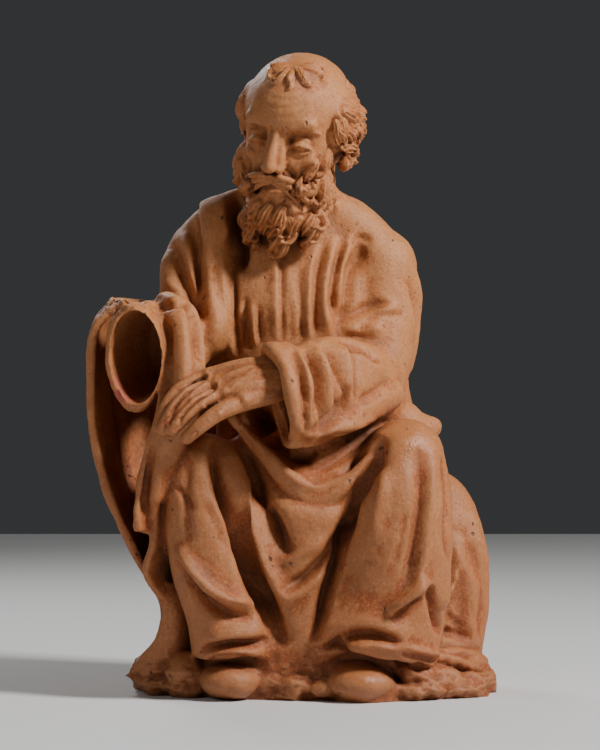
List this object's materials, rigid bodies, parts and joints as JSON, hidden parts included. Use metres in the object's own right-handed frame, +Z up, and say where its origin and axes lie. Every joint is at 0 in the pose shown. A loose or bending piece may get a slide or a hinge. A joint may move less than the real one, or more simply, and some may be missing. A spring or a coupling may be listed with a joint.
{
  "type": "saint joseph statue",
  "caption": "Seated bearded man in modelled fired clay, wrapped in a tunic and mantle, with a hollow empty sleeve, on a low rocky ground.",
  "frame": {"origin": "on the flat underside, below the middle of the figure", "axes": "+Z up, -Y towards the viewer, the way that the figure faces, and +X to the viewer's right"},
  "size_m": [0.5402, 0.4069, 0.847],
  "materials": {
    "fired_clay": "matt fired clay"
  },
  "bodies": {
    "root": {"saint_joseph_statue": "fired_clay"}
  },
  "joints": []
}
